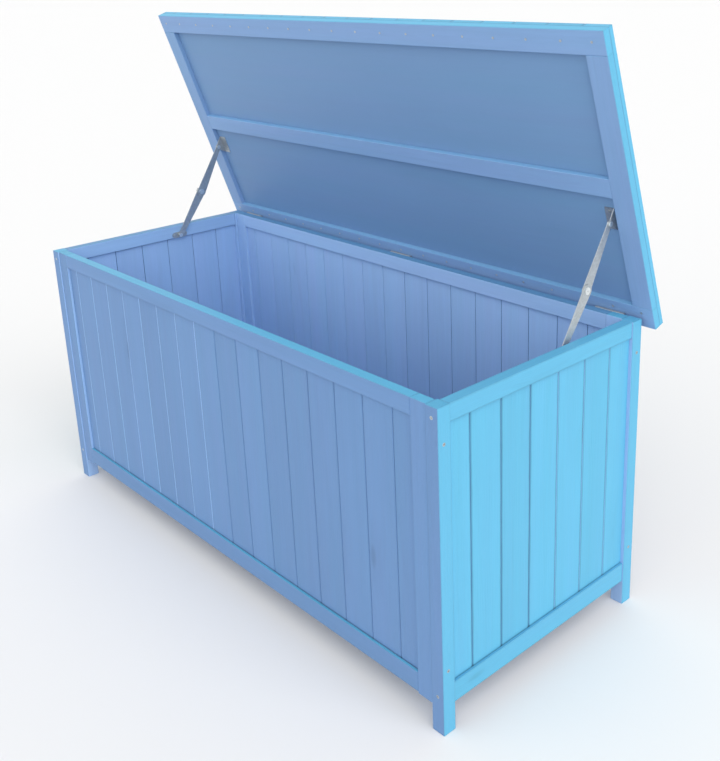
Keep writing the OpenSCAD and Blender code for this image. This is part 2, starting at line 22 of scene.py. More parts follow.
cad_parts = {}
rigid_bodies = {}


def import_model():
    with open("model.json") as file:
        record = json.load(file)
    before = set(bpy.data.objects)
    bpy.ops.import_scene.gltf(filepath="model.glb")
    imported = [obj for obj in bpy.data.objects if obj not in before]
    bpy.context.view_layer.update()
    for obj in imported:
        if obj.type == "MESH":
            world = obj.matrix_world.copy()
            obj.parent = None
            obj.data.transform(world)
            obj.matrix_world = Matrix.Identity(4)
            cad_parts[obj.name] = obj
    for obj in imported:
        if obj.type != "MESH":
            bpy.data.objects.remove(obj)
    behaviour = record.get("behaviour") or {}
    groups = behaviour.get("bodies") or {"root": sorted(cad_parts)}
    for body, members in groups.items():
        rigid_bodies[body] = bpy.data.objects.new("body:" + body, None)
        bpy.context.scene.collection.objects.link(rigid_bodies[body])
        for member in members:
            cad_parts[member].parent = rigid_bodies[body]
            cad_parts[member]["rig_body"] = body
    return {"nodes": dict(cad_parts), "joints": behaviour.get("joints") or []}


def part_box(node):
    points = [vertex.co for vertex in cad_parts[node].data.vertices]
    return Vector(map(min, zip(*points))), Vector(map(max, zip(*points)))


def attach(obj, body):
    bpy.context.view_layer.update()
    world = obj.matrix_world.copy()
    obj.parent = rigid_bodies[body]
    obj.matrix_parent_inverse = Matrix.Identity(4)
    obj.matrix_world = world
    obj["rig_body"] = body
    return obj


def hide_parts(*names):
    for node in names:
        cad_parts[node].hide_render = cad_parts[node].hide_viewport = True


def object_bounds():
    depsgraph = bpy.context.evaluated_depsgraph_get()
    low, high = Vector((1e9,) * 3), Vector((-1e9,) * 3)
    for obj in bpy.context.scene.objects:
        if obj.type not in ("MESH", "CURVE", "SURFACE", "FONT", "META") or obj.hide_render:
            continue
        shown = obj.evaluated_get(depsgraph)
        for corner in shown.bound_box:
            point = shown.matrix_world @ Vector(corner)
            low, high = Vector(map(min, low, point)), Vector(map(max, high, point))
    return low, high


bl_info = {
    "name": "Deck storage box",
    "version": (1, 0, 0),
    "blender": (4, 5, 0),
    "location": "3D View > Sidebar > Deck box",
    "description": "Makes a stained wooden deck storage box with its stays and hinges",
    "category": "Add Mesh",
}

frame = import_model()
CAD_LOW, CAD_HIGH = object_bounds()

SIDES = ("front", "back")
ENDS = ("left", "right")
CORNERS = tuple(f"{side}_{end}" for side in SIDES for end in ENDS)

POSTS = tuple(f"post_{corner}" for corner in CORNERS)
RAILS = tuple(
    f"{wall}_{level}_rail" for wall in SIDES + ENDS for level in ("top", "bottom")
)
STILES = tuple(f"{side}_stile_{end}" for side in SIDES for end in ENDS)
WALL_BOARDS = tuple(f"{wall}_boards" for wall in SIDES + ENDS)
FLOOR = ("floor_boards", "floor_cleat_front", "floor_cleat_back", "floor_bearer")
LID_FRAME = (
    "lid_front_rail",
    "lid_back_rail",
    "lid_stile_left",
    "lid_stile_right",
    "lid_batten",
)
LID_FRONT = ("lid_front_rail", "lid_boards")  # their front edges are the lid's own
HINGES = tuple(
    f"hinge_leaf_{part}_{place}"
    for part in ("box", "lid")
    for place in ("left", "middle", "right")
) + ("hinge_pins",)
STAYS = tuple(
    f"stay_{piece}_{end}"
    for piece in (
        "lower_bracket",
        "upper_bracket",
        "lower_arm",
        "upper_arm",
    )
    for end in ENDS
)
RIVETS = tuple(f"stay_elbow_{part}_{end}" for part in ("head", "tail") for end in ENDS) + (
    "stay_lower_rivets",
    "stay_upper_rivets",
)
FASTENERS = (
    "post_screws",
    "hinge_screws_box",
    "hinge_screws_lid",
    "stay_screws_box",
    "stay_screws_lid",
    "lid_nails",
)

# Shapes, in metres
SHARP = math.radians(25)  # two faces that meet at more than this make an edge
FLAT = math.radians(0.5)  # two faces that meet at less than this are one
SHORTEST_EASED = 0.015  # shorter edges are those of holes and stay sharp
WELD = 1e-5  # points closer than this are one
EASE_SEGMENTS = 2
FACE_SHARE = 0.499  # the two faces of a plank lie beyond this share of its thickness
END_ZONE = 0.95  # the outer faces of the ends lie beyond this share of half the length
LIT_ZONE = 0.9  # painted light falls on the upward faces beyond this share, right and front
INWARD = 0.5  # a face whose normal points inward by more than this is inside the box

# Scales of the wood's figure, in features per metre along, across and through a plank
KNOT_CELLS = (3.2, 11.0, 11.0)
FIGURE_SCALE = (2.2, 42.0, 42.0)
FIBRE_SCALE = (9.0, 330.0, 330.0)
PORE_SCALE = (45.0, 1500.0, 1500.0)
CLOUD_SCALE = (2.6, 5.0, 5.0)
DIRT_SCALE = (30.0, 30.0, 30.0)
DRIFT_SCALE = (1.8, 26.0, 26.0)

PLANK_OFFSET = (17.0, 9.0, 5.0)  # the farthest that two planks lie apart in the pattern
DRIFT_OFFSET = (3.1, 4.7, 1.9)  # sets the drift of the stain apart from the figure
TONE_SHUFFLE = 7.31  # turns a plank's number into a tone that has no tie to its pattern

KNOTLESS_SHARE = 0.72  # of the cells have no knot
KNOT_EDGE = (0.03, 0.10)  # from the dark of a knot to its rim, in cells
HALO_EDGE = (0.05, 0.40)  # the same for the grain that a knot bends
KNOT_BEND = 0.012  # metres that the grain gives way to a knot

# Dirt on the planks, and painted shade along the rails, in metres from an edge
EDGE_DIRT = (0.0004, 0.0022)  # full dirt, and the last of it
RAGGED = 0.0012  # how far the rim of the dirt wanders
RAIL_SHADE_REACH = 0.004  # from full painted shade to none where an end comes out of its groove
UNLIT_DIRT = 0.25  # share of the dirt that a face without painted light has
LIT_DIRT = 0.8  # what a face with full painted light adds to it

# How much each part of the figure lightens or darkens the stain
FIGURE_TONE = 0.060
FIBRE_TONE = 0.050
PORE_TONE = 0.020
CLOUD_TONE = 0.035
KNOT_TONE = -0.16
HALO_TONE = -0.04
FRAME_EDGE_TONE = -0.12
BOARD_EDGE_TONE = -0.30
# Painted shade along the rails, where the boards go into their grooves
RAIL_SHADE_TONE = -0.38

# Roughness of the wood, and what its figure adds to it
WOOD_ROUGHNESS = 0.52
FIBRE_ROUGHNESS = 0.07
CLOUD_ROUGHNESS = 0.05
WOOD_SPECULAR = 0.35

# How high each part of the figure stands, as a share of the fibres
FIGURE_HEIGHT = 0.5
PORE_HEIGHT = 0.35
KNOT_HEIGHT = -0.8
GRAIN_STRENGTH = 0.55

SHEET_GRAIN = 0.45  # share of the grain that shows on the smooth sheet in the lid

# Zinc plating, in features per metre
SPANGLES = 260.0
DRAWN_SCALE = (900.0, 60.0, 60.0)
SMEAR_SCALE = (35.0, 35.0, 35.0)
DRAWN_DEPTH = 0.0001  # metres
DRAWN_STRENGTH = 0.25

# Its tone and roughness, and how far the flakes and the smears change them
STEEL_TONE = 0.90
FLAKE_TONE = 0.16
SMEAR_TONE = 0.12
FLAKE_ROUGHNESS = 0.06
SMEAR_ROUGHNESS = 0.10
STEEL_METALLIC = 0.9

# Sockets of the mix node that carry colours
MIX_A, MIX_B, MIX_RESULT = 6, 7, 2

# The scene
HORIZON = (0.35, 0.75)  # between these heights the bright horizon fades into the sky
FLOOR_RADIUS = 60
FLOOR_ROUGHNESS = 0.9
LIGHT_WIDTH = math.radians(75)
LIGHT_PLACES = {
    "key_light": (3.0, -1.0, 2.4),
    "fill_light": (-0.8, -3.2, 2.2),
    "back_light": (-2.4, 2.4, 1.8),
}
SENSOR_WIDTH = 36  # millimetres
FARTHEST = 200  # the camera sees no farther


# ---- Settings ----


class DECKBOX_PG_wood(PropertyGroup):
    """The stained wood of the box and its lid."""

    shade_stain: FloatVectorProperty(
        name="Stain",
        description="Colour of the stain on the outside of the front and the back",
        subtype="COLOR",
        size=3,
        min=0,
        max=1,
        default=(0.126, 0.246, 0.466),
    )
    # Painted light: a lighter, greener copy of the stain for the faces where the key light falls
    painted_light_stain: FloatVectorProperty(
        name="Painted light stain",
        description="Colour painted on the outer ends and the upward faces as painted light",
        subtype="COLOR",
        size=3,
        min=0,
        max=1,
        default=(0.107, 0.418, 0.633),
    )
    # Painted light: a lighter copy of the stain for the shaded inside of the box
    inside_light_stain: FloatVectorProperty(
        name="Inner stain",
        description="Lighter colour painted inside the box as painted light",
        subtype="COLOR",
        size=3,
        min=0,
        max=1,
        default=(0.305, 0.485, 0.770),
    )
    liner_stain: FloatVectorProperty(
        name="Lid sheet stain",
        description="Colour of the stain on the sheet inside the lid",
        subtype="COLOR",
        size=3,
        min=0,
        max=1,
        default=(0.163, 0.300, 0.515),
    )
    # Painted light on the upward faces at the front and the right
    upward_painted_light: FloatProperty(
        name="Upward painted light",
        description="How much painted light the faces that look up at the front and the right get",
        subtype="FACTOR",
        min=0,
        max=1,
        default=0.92,
    )
    # Less painted light on the upward faces that the open lid shades
    shaded_painted_light: FloatProperty(
        name="Shaded painted light",
        description="How much painted light the upward faces at the back, the left and inside get",
        subtype="FACTOR",
        min=0,
        max=1,
        default=0.3,
    )
    # Painted light on the upper edges of the batten and the rails in the open lid
    inner_painted_light: FloatProperty(
        name="Inner painted light",
        description="How much painted light the upper edges of the batten and the rails in the lid get",
        subtype="FACTOR",
        min=0,
        max=1,
        default=0.3,
    )
    # Painted light: how much of the lighter inside stain the lid gets
    lid_inside_light: FloatProperty(
        name="Lid inside light",
        description="How far the lid and the frame under it get the lighter inside stain as painted light",
        subtype="FACTOR",
        min=0,
        max=1,
        default=0.45,
    )
    tone_spread: FloatProperty(
        name="Tone spread",
        description="How far the boards differ from each other in tone",
        subtype="FACTOR",
        min=0,
        max=1,
        default=0.035,
    )
    warm_drift: FloatVectorProperty(
        name="Warm drift",
        description="Red, green and blue where the stain drifts to the warmer side",
        size=3,
        min=0,
        max=2,
        default=(1.07, 0.975, 1.01),
    )
    grain_depth: FloatProperty(
        name="Grain depth",
        description="How deep the grain stands",
        unit="LENGTH",
        min=0,
        max=0.002,
        default=0.00035,
    )
    edge_ease: FloatProperty(
        name="Eased edge",
        description="Width of the eased edges of posts, rails and stiles",
        unit="LENGTH",
        min=0,
        max=0.004,
        default=0.0010,
    )
    board_ease: FloatProperty(
        name="Eased board edge",
        description="Width of the eased edges of the boards",
        unit="LENGTH",
        min=0,
        max=0.002,
        default=0.0005,
    )
    seed: IntProperty(
        name="Seed", description="Start of the random draws", min=0, default=7
    )


class DECKBOX_PG_steel(PropertyGroup):
    """The zinc-plated steel of hinges, stays and fasteners."""

    zinc: FloatVectorProperty(
        name="Zinc",
        description="Colour of the zinc plating",
        subtype="COLOR",
        size=3,
        min=0,
        max=1,
        default=(0.50, 0.54, 0.56),
    )
    roughness: FloatProperty(
        name="Roughness",
        description="Roughness of the zinc plating",
        subtype="FACTOR",
        min=0,
        max=1,
        default=0.46,
    )
    rivet_zinc: FloatVectorProperty(
        name="Rivets",
        description="Colour of the rivets of the stays",
        subtype="COLOR",
        size=3,
        min=0,
        max=1,
        default=(0.80, 0.84, 0.85),
    )
    rivet_roughness: FloatProperty(
        name="Rivet roughness",
        description="Roughness of the rivets of the stays",
        subtype="FACTOR",
        min=0,
        max=1,
        default=0.30,
    )


class DECKBOX_PG_stage(PropertyGroup):
    """Floor, light and camera."""

    floor_colour: FloatVectorProperty(
        name="Floor",
        description="Colour of the floor",
        subtype="COLOR",
        size=3,
        min=0,
        max=1,
        default=(0.82, 0.82, 0.82),
    )
    horizon_strength: FloatProperty(
        name="Horizon", description="Strength of the light from the horizon", min=0, default=0.91
    )
    sky_strength: FloatProperty(
        name="Sky", description="Strength of the light from above", min=0, default=0.46
    )
    key_strength: FloatProperty(
        name="Key light", description="Strength of the soft light from the right",
        min=0, default=2.2,
    )
    fill_strength: FloatProperty(
        name="Fill light", description="Strength of the soft light from the front",
        min=0, default=0.65,
    )
    back_strength: FloatProperty(
        name="Back light", description="Strength of the soft light from behind",
        min=0, default=0.45,
    )
    azimuth: FloatProperty(
        name="Azimuth", description="Direction of the camera round the box",
        subtype="ANGLE", default=math.radians(46.88),
    )
    elevation: FloatProperty(
        name="Elevation", description="Angle of the camera above the ground",
        subtype="ANGLE", default=math.radians(17.40),
    )
    roll: FloatProperty(
        name="Roll", description="Tilt of the camera about its line of sight",
        subtype="ANGLE", default=math.radians(-1.64),
    )
    distance: FloatProperty(
        name="Distance", description="From the camera to the point that it looks at",
        unit="LENGTH", default=2.0846,
    )
    look_at: FloatVectorProperty(
        name="Look at", description="Point that the camera looks at",
        subtype="TRANSLATION", size=3, default=(0.0873, 0.2064, 0.5467),
    )
    lens: FloatProperty(
        name="Lens", description="Focal length of the camera in millimetres",
        min=1, default=47.16,
    )
    shift: FloatVectorProperty(
        name="Lens shift", description="Shift of the frame, to place the box in it",
        size=2, default=(-0.0691, -0.1379),
    )


# ---- Materials ----


class Graph:
    """A material's nodes, added and linked in one call each."""

    def __init__(self, tree):
        self.tree = tree
        tree.nodes.clear()

    def node(self, kind, inputs=(), **settings):
        made = self.tree.nodes.new(kind)
        for name, value in settings.items():
            setattr(made, name, value)
        for name, value in dict(inputs).items():
            self.feed(made.inputs[name], value)
        return made

    def feed(self, socket, value):
        if isinstance(value, bpy.types.NodeSocket):
            self.tree.links.new(value, socket)
        else:
            socket.default_value = value

    def math(self, operation, *values, clamp=False):
        made = self.tree.nodes.new("ShaderNodeMath")
        made.operation = operation
        made.use_clamp = clamp
        for socket, value in zip(made.inputs, values):
            self.feed(socket, value)
        return made.outputs[0]

    def vector(self, operation, *values):
        made = self.tree.nodes.new("ShaderNodeVectorMath")
        made.operation = operation
        for socket, value in zip(made.inputs, values):
            self.feed(socket, value)
        return made.outputs[0]

    def scale(self, vector, factor):
        made = self.tree.nodes.new("ShaderNodeVectorMath")
        made.operation = "SCALE"
        self.feed(made.inputs[0], vector)
        self.feed(made.inputs["Scale"], factor)
        return made.outputs[0]

    def inverse(self, value):
        return self.math("SUBTRACT", 1.0, value)

    def attribute(self, name, output):
        made = self.node("ShaderNodeAttribute", attribute_name=name)
        return made.outputs[output]

    def ramp(self, value, low, high):
        """0 below low and 1 above high, smooth between."""
        made = self.node(
            "ShaderNodeMapRange",
            {"Value": value, "From Min": low, "From Max": high},
            interpolation_type="SMOOTHSTEP",
        )
        return made.outputs["Result"]

    def noise(self, at, scale, detail=3.0, roughness=0.55, distortion=0.0):
        """Noise from -1 to 1, with scale as features per metre along each axis."""
        made = self.node(
            "ShaderNodeTexNoise",
            {
                "Vector": self.vector("MULTIPLY", at, scale),
                "Scale": 1.0,
                "Detail": detail,
                "Roughness": roughness,
                "Distortion": distortion,
            },
        )
        return self.math("MULTIPLY_ADD", made.outputs["Fac"], 2.0, -1.0)

    def mix(self, factor, a, b):
        made = self.node("ShaderNodeMix", data_type="RGBA")
        self.feed(made.inputs["Factor"], factor)
        self.feed(made.inputs[MIX_A], a)
        self.feed(made.inputs[MIX_B], b)
        return made.outputs[MIX_RESULT]

    def surface(self, colour, roughness, bump, more):
        """The material's surface, with the bump node's inputs and the shader's other inputs."""
        normal = self.node("ShaderNodeBump", bump).outputs["Normal"]
        inputs = {"Base Color": colour, "Roughness": roughness, "Normal": normal, **more}
        shader = self.node("ShaderNodeBsdfPrincipled", inputs)
        self.node("ShaderNodeOutputMaterial", {"Surface": shader.outputs["BSDF"]})


def new_material(name, colour):
    """A material, with its colour in the viewport, and its empty graph."""
    material = bpy.data.materials.new(name)
    material.use_nodes = True
    material.diffuse_color = (*colour, 1)
    return material, Graph(material.node_tree)


def add_knots(g, at):
    """Knots, in some of the cells of a stretched pattern. Returns how far a point lies in a
    knot, how far it lies in the grain round one, and the point as the knot bends it."""
    cells = g.node(
        "ShaderNodeTexVoronoi",
        {"Vector": g.vector("MULTIPLY", at, KNOT_CELLS), "Scale": 1.0},
    )
    colour = g.node("ShaderNodeSeparateColor", {"Color": cells.outputs["Color"]})
    chosen = g.math("GREATER_THAN", colour.outputs["Red"], KNOTLESS_SHARE)
    distance = cells.outputs["Distance"]
    knot = g.math("MULTIPLY", chosen, g.inverse(g.ramp(distance, *KNOT_EDGE)))
    halo = g.math("MULTIPLY", chosen, g.inverse(g.ramp(distance, *HALO_EDGE)))
    bend = g.node("ShaderNodeCombineXYZ", {"Y": g.math("MULTIPLY", halo, KNOT_BEND)})
    return knot, halo, g.vector("ADD", at, bend.outputs[0])


def add_dirt_and_rail_shade(g, at, grown, painted_light, inside_light, hidden_end):
    """Dirt at the edges of the planks, and painted shade where their ends go into a groove,
    hidden_end from the end. The dirt is stronger where light is painted on, less where the inside
    light is painted on, and gone on the inside walls."""
    half = g.attribute("plank_half", "Vector")
    depth = g.vector("SUBTRACT", half, g.vector("ABSOLUTE", at))
    apart = g.node("ShaderNodeSeparateXYZ", {"Vector": depth})
    along, across, through = (apart.outputs[i] for i in range(3))
    # The second smallest of the three depths is the distance from the nearest edge
    low = g.math("MINIMUM", along, across)
    high = g.math("MAXIMUM", along, across)
    edge = g.math("MAXIMUM", low, g.math("MINIMUM", high, through))
    ragged = g.math("MULTIPLY_ADD", g.noise(grown, DIRT_SCALE), RAGGED, edge)
    # The dirt follows the painted light: more where light is painted on, less or none where the
    # inside light is painted on
    dirt_by_light = g.math("MULTIPLY_ADD", painted_light, LIT_DIRT, UNLIT_DIRT)
    dirt_by_light = g.math("SUBTRACT", dirt_by_light, inside_light, clamp=True)
    edge_dirt = g.math("MULTIPLY", g.inverse(g.ramp(ragged, *EDGE_DIRT)), dirt_by_light)
    # Painted shade where a board's end goes into the groove of a rail
    rail_shade = g.inverse(g.ramp(along, hidden_end, hidden_end + RAIL_SHADE_REACH))
    return edge_dirt, rail_shade


def wood_material(name, shade, inner, wood, edge_tone, hidden_end=0.0, grain_share=1.0):
    """Stained wood whose grain follows each plank's own attributes."""
    material, g = new_material(name, shade)
    at = g.attribute("plank_at", "Vector")
    seed = g.attribute("plank_seed", "Fac")
    painted_light = g.attribute("painted_light", "Fac")
    inside_light = g.attribute("inside_light", "Fac")
    grown = g.vector("ADD", at, g.scale(PLANK_OFFSET, seed))
    knot, halo, bent = add_knots(g, grown)
    figure = g.noise(bent, FIGURE_SCALE, detail=4.0, distortion=0.7)
    fibre = g.noise(bent, FIBRE_SCALE, detail=3.0)
    pores = g.noise(bent, PORE_SCALE, detail=2.0)
    cloud = g.noise(grown, CLOUD_SCALE, detail=3.0, roughness=0.6)
    shuffled = g.math("FRACT", g.math("MULTIPLY", seed, TONE_SHUFFLE))
    tone = g.math("MULTIPLY_ADD", shuffled, 2.0, -1.0)
    edge_dirt, rail_shade = add_dirt_and_rail_shade(g, at, grown, painted_light, inside_light, hidden_end)

    value = g.math("MULTIPLY_ADD", figure, FIGURE_TONE * grain_share, 1.0)
    for source, amount in (
        (fibre, FIBRE_TONE * grain_share),
        (pores, PORE_TONE * grain_share),
        (cloud, CLOUD_TONE),
        (tone, wood.tone_spread),
        (knot, KNOT_TONE * grain_share),
        (halo, HALO_TONE * grain_share),
        (edge_dirt, edge_tone),
        # painted shade along the rails
        (rail_shade, RAIL_SHADE_TONE if hidden_end else 0.0),
    ):
        value = g.math("MULTIPLY_ADD", source, amount, value)
    # Painted light: the lighter inside stain on the faces inside, then the lighter, greener stain
    # where the key light falls
    stain = g.mix(inside_light, (*shade, 1), (*inner, 1))
    stain = g.mix(painted_light, stain, (*wood.painted_light_stain, 1))
    # The stain drifts between a warmer and a greener blue
    drift = g.noise(g.vector("ADD", grown, DRIFT_OFFSET), DRIFT_SCALE, detail=3.0)
    hue = g.mix(
        g.math("MULTIPLY_ADD", drift, 0.5, 0.5, clamp=True),
        (*wood.warm_drift, 1),
        (*[2 - c for c in wood.warm_drift], 1),
    )
    colour = g.scale(g.vector("MULTIPLY", stain, hue), value)

    rough = g.math("MULTIPLY_ADD", fibre, FIBRE_ROUGHNESS, WOOD_ROUGHNESS)
    rough = g.math("MULTIPLY_ADD", cloud, CLOUD_ROUGHNESS, rough)
    height = g.math("MULTIPLY_ADD", figure, FIGURE_HEIGHT, fibre)
    height = g.math("MULTIPLY_ADD", pores, PORE_HEIGHT, height)
    height = g.math("MULTIPLY_ADD", knot, KNOT_HEIGHT, height)
    strength = GRAIN_STRENGTH * grain_share
    bump = {"Height": height, "Strength": strength, "Distance": wood.grain_depth}
    g.surface(colour, rough, bump, {"Specular IOR Level": WOOD_SPECULAR})
    return material


def steel_material(name, zinc, roughness):
    """Zinc-plated steel: a mottled plating with fine drawn lines."""
    material, g = new_material(name, zinc)
    at = g.node("ShaderNodeTexCoord").outputs["Object"]
    spangle = g.node("ShaderNodeTexVoronoi", {"Vector": at, "Scale": SPANGLES})
    flake = g.node("ShaderNodeSeparateColor", {"Color": spangle.outputs["Color"]}).outputs["Red"]
    drawn = g.noise(at, DRAWN_SCALE, detail=2.0)
    smear = g.noise(at, SMEAR_SCALE, detail=4.0)
    value = g.math("MULTIPLY_ADD", flake, FLAKE_TONE, STEEL_TONE)
    value = g.math("MULTIPLY_ADD", smear, SMEAR_TONE, value)
    rough = g.math("MULTIPLY_ADD", smear, SMEAR_ROUGHNESS, roughness)
    rough = g.math("MULTIPLY_ADD", flake, FLAKE_ROUGHNESS, rough)
    bump = {"Height": drawn, "Strength": DRAWN_STRENGTH, "Distance": DRAWN_DEPTH}
    g.surface(g.scale(tuple(zinc), value), rough, bump, {"Metallic": STEEL_METALLIC})
    return material


# ---- Planks ----


def body_axes(body):
    """The three directions that a body's planks are cut along. The open lid's are tilted."""
    if body != "lid":
        return Vector((1, 0, 0)), Vector((0, 1, 0)), Vector((0, 0, 1))
    opening = next(j for j in frame["joints"] if j["name"] == "lid_hinge")["range_deg"][1]
    tilt = Matrix.Rotation(-math.radians(opening), 3, "X")
    return tuple(tilt @ Vector(axis) for axis in ((1, 0, 0), (0, 1, 0), (0, 0, 1)))


def loose_parts(bm):
    """The vertices of each separate plank."""
    left, parts = set(bm.verts), []
    for start in bm.verts:
        if start not in left:
            continue
        left.discard(start)
        part, reach = [start], [start]
        while reach:
            for edge in reach.pop().link_edges:
                for vert in edge.verts:
                    if vert in left:
                        left.discard(vert)
                        part.append(vert)
                        reach.append(vert)
        parts.append(part)
    return parts


def ease_edges(bm, width):
    """Rounds the long edges of the planks a little."""
    edges = [
        e
        for e in bm.edges
        if len(e.link_faces) == 2
        and e.calc_face_angle(0) > SHARP
        and e.calc_length() > SHORTEST_EASED
    ]
    bmesh.ops.bevel(
        bm,
        geom=edges,
        offset=width,
        offset_type="OFFSET",
        segments=EASE_SEGMENTS,
        profile=0.5,
        affect="EDGES",
        clamp_overlap=True,
    )


def painted_light_of(face, axes, wood, is_front):
    """How much painted light a face gets, as the lighter, greener stain where the key light
    falls: on the box the ends and what looks up, and on the lid all of the outside. The lid's own
    axes count, because it stands open."""
    across, inward, upward = (face.normal.dot(axis) for axis in axes)
    middle = face.calc_center_median()
    outward = across * math.copysign(1, middle.x)
    if abs(middle.x) <= END_ZONE * CAD_HIGH.x:
        outward = 0.0
    if axes[2].z == 1:
        # Painted light: more on the upward faces at the right and the front than on those that
        # the open lid shades
        painted_lit = middle.x > LIT_ZONE * CAD_HIGH.x or middle.y < LIT_ZONE * CAD_LOW.y
        upward *= wood.upward_painted_light if painted_lit else wood.shaded_painted_light
    else:
        # On the open lid, painted light on what faces forward: full on its front edges, less on
        # the batten and the rails
        forward = -inward * (1.0 if is_front else wood.inner_painted_light)
        upward = max(upward, forward)
    return min(1.0, max(0.0, outward, upward))


def inside_light_of(face, axes, wood):
    """How much of the lighter inside stain a face gets as painted light: the inside of the walls
    fully, and every face of the lid less.
    """
    if axes[2].z < 1:
        return wood.lid_inside_light
    middle = face.calc_center_median()
    inward = max(
        -face.normal.x * math.copysign(1, middle.x),
        -face.normal.y * math.copysign(1, middle.y),
    )
    return float(inward > INWARD)


def mark_planks(bm, mesh, axes, rng, is_front):
    """Writes into the mesh what the wood needs to know of each plank: the place in it, its half
    size and a number of its own; and for each face how much painted light and painted inside
    light it gets."""
    count = len(bm.verts)
    at, halves, seeds = [None] * count, [None] * count, [0.0] * count
    for part in loose_parts(bm):
        spans = []
        for axis in axes:
            values = [v.co.dot(axis) for v in part]
            spans.append((max(values) - min(values), (max(values) + min(values)) / 2, axis))
        spans.sort(key=lambda span: -span[0])
        (long, mid_a, a), (wide, mid_w, w), (thick, mid_t, t) = spans
        # A tongue does not count as width: the width is measured on the two faces
        faces = [v.co.dot(w) for v in part if abs(v.co.dot(t) - mid_t) > thick * FACE_SHARE]
        if faces:
            wide, mid_w = max(faces) - min(faces), (max(faces) + min(faces)) / 2
        own = rng.random()
        for v in part:
            at[v.index] = (v.co.dot(a) - mid_a, v.co.dot(w) - mid_w, v.co.dot(t) - mid_t)
            halves[v.index] = (long / 2, wide / 2, thick / 2)
            seeds[v.index] = own
    wood = bpy.context.scene.deckbox_wood
    # How much painted light and painted inside light each face gets
    painted_light = [painted_light_of(face, axes, wood, is_front) for face in bm.faces]
    inside_light = [inside_light_of(face, axes, wood) for face in bm.faces]
    bm.to_mesh(mesh)
    for name, kind, domain, values in (
        ("plank_at", "FLOAT_VECTOR", "POINT", at),
        ("plank_half", "FLOAT_VECTOR", "POINT", halves),
        ("plank_seed", "FLOAT", "POINT", seeds),
        ("painted_light", "FLOAT", "FACE", painted_light),
        ("inside_light", "FLOAT", "FACE", inside_light),
    ):
        attribute = mesh.attributes.new(name, kind, domain)
        if kind == "FLOAT":
            attribute.data.foreach_set("value", values)
        else:
            attribute.data.foreach_set("vector", [x for row in values for x in row])


def make_planks(nodes, ease, material):
    """Wooden pieces that stand for the frame's nodes, with eased edges and their own grain."""
    wood = bpy.context.scene.deckbox_wood
    for name in nodes:
        node = frame["nodes"][name]
        body = node["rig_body"]
        bm = bmesh.new()
        bm.from_mesh(node.data)
        bmesh.ops.remove_doubles(bm, verts=bm.verts, dist=WELD)
        bmesh.ops.dissolve_limit(bm, angle_limit=FLAT, verts=bm.verts, edges=bm.edges)
        ease_edges(bm, ease)
        for face in bm.faces:
            face.smooth = False
        bm.normal_update()
        bm.verts.index_update()
        mesh = bpy.data.meshes.new(f"{name}_planks")
        rng = random.Random(f"{wood.seed} {name}")
        mark_planks(bm, mesh, body_axes(body), rng, name in LID_FRONT)
        bm.free()
        for stale in ("custom_normal", "sharp_edge"):
            if stale in mesh.attributes:
                mesh.attributes.remove(mesh.attributes[stale])
        mesh.materials.append(material)
        piece = bpy.data.objects.new(f"{name}_planks", mesh)
        bpy.context.scene.collection.objects.link(piece)
        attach(piece, body)
        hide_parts(name)


def finish_steel(nodes, material):
    """Gives the frame's own steel nodes their zinc finish."""
    for name in nodes:
        node = frame["nodes"][name]
        node.data.materials.clear()
        node.data.materials.append(material)


# ---- Operators ----


class DeckboxOperator(Operator):
    """What the operators of this box share."""

    bl_options = {"REGISTER", "UNDO"}

    @property
    def wood(self):
        return bpy.context.scene.deckbox_wood

    def frame_wood(self, name):
        wood = self.wood
        return wood_material(name, wood.shade_stain, wood.inside_light_stain, wood, FRAME_EDGE_TONE)

    def board_wood(self, name, hidden_end=0.0):
        wood = self.wood
        return wood_material(
            name, wood.shade_stain, wood.inside_light_stain, wood, BOARD_EDGE_TONE, hidden_end
        )

    def zinc(self, name):
        steel = bpy.context.scene.deckbox_steel
        return steel_material(name, steel.zinc, steel.roughness)


class DECKBOX_OT_posts(DeckboxOperator):
    """Make the four corner posts"""

    bl_idname = "deckbox.posts"
    bl_label = "Posts"

    def execute(self, context):
        make_planks(POSTS, self.wood.edge_ease, self.frame_wood("post_wood"))
        return {"FINISHED"}


class DECKBOX_OT_frames(DeckboxOperator):
    """Make the rails and stiles of the four walls"""

    bl_idname = "deckbox.frames"
    bl_label = "Rails and stiles"

    def execute(self, context):
        make_planks(RAILS + STILES, self.wood.edge_ease, self.frame_wood("frame_wood"))
        return {"FINISHED"}


class DECKBOX_OT_wall_boards(DeckboxOperator):
    """Make the tongued and grooved boards of the four walls"""

    bl_idname = "deckbox.wall_boards"
    bl_label = "Wall boards"

    def execute(self, context):
        rail_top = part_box("front_bottom_rail")[1].z
        groove = rail_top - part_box("front_boards")[0].z
        make_planks(WALL_BOARDS, self.wood.board_ease, self.board_wood("board_wood", groove))
        return {"FINISHED"}


class DECKBOX_OT_floor(DeckboxOperator):
    """Make the floor boards and what they lie on"""

    bl_idname = "deckbox.floor"
    bl_label = "Floor"

    def execute(self, context):
        make_planks(FLOOR, self.wood.edge_ease, self.frame_wood("floor_wood"))
        return {"FINISHED"}


class DECKBOX_OT_lid_frame(DeckboxOperator):
    """Make the rails, stiles and batten of the lid"""

    bl_idname = "deckbox.lid_frame"
    bl_label = "Lid frame"

    def execute(self, context):
        make_planks(LID_FRAME, self.wood.edge_ease, self.frame_wood("lid_frame_wood"))
        return {"FINISHED"}


class DECKBOX_OT_lid_boards(DeckboxOperator):
    """Make the boards on the lid"""

    bl_idname = "deckbox.lid_boards"
    bl_label = "Lid boards"

    def execute(self, context):
        make_planks(("lid_boards",), self.wood.board_ease, self.board_wood("lid_board_wood"))
        return {"FINISHED"}


